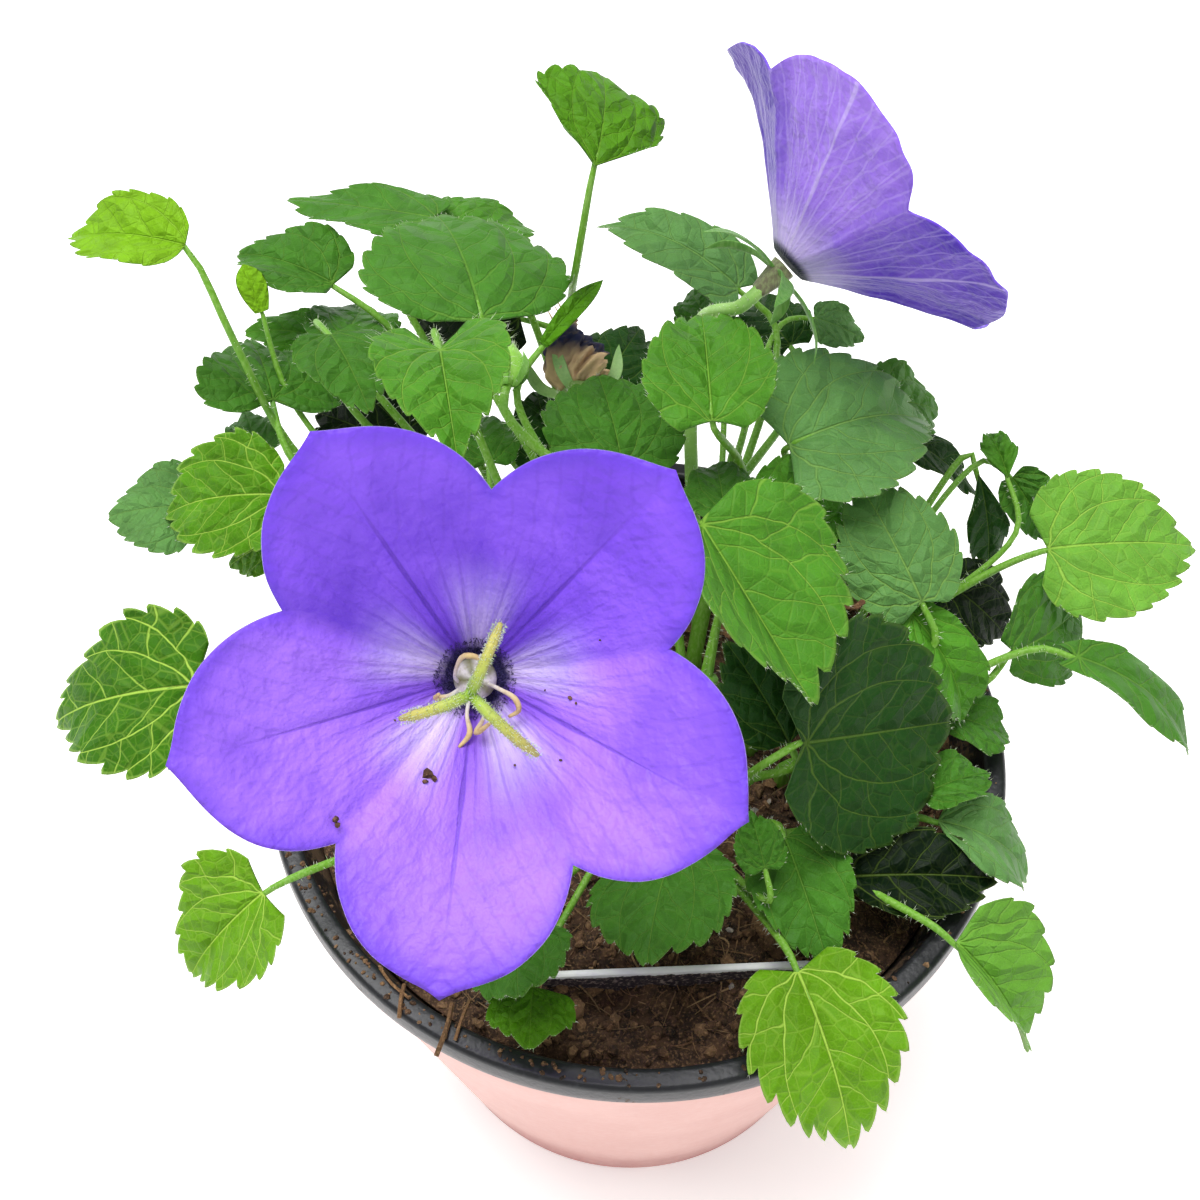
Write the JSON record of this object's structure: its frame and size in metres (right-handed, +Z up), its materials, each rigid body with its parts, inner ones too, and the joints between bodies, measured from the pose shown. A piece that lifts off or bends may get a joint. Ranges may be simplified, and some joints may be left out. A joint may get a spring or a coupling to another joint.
{
  "type": "potted bellflower",
  "caption": "Potted Carpathian bellflower: open violet bell flowers and toothed, heart-shaped leaves on slender stems, growing from soil in a black pot inside a pale pink cover pot.",
  "frame": {"origin": "centre of the cover pot's flat base, on the surface it stands on", "axes": "+Z up, +X to the viewer's right, -Y towards the viewer in the picture"},
  "size_m": [0.1599, 0.1397, 0.172],
  "materials": {
    "cover_pot": "smooth pale pink, darker round the heel",
    "grow_pot": "satin black",
    "plant_label": "white edge, faces soiled by potting mix",
    "soil": "crumbly brown potting mix of bark and fibre",
    "leaf": "soft matt green with paler veins",
    "flower_stem": "pale green, finely hairy",
    "petal": "velvety violet with darker midveins and a pale throat",
    "pistil": "cream and yellow-green",
    "withered": "papery, tan and dark blue"
  },
  "bodies": {
    "root": {"cover_pot": "cover_pot", "grow_pot": "grow_pot", "plant_label": "plant_label", "soil": "soil", "stem_left_back": "leaf", "stem_back_left": "leaf", "stem_back": "leaf", "stem_back_tall": "leaf", "stem_bud": "leaf", "stem_back_bloom": "leaf", "stem_back_right": "leaf", "stem_centre": "leaf", "stem_right": "leaf", "stem_right_far": "leaf", "stem_right_low": "leaf", "stem_front_right": "leaf", "stem_front_low": "leaf", "stem_front": "leaf", "stem_front_left": "leaf", "stem_left": "leaf", "stem_left_mid": "leaf", "bloom_front_stem": "flower_stem", "bloom_front_corolla": "petal", "bloom_front_pistil": "pistil", "bloom_back_stem": "flower_stem", "bloom_back_corolla": "petal", "bloom_back_pistil": "pistil", "withered_bloom": "withered"}
  },
  "joints": []
}
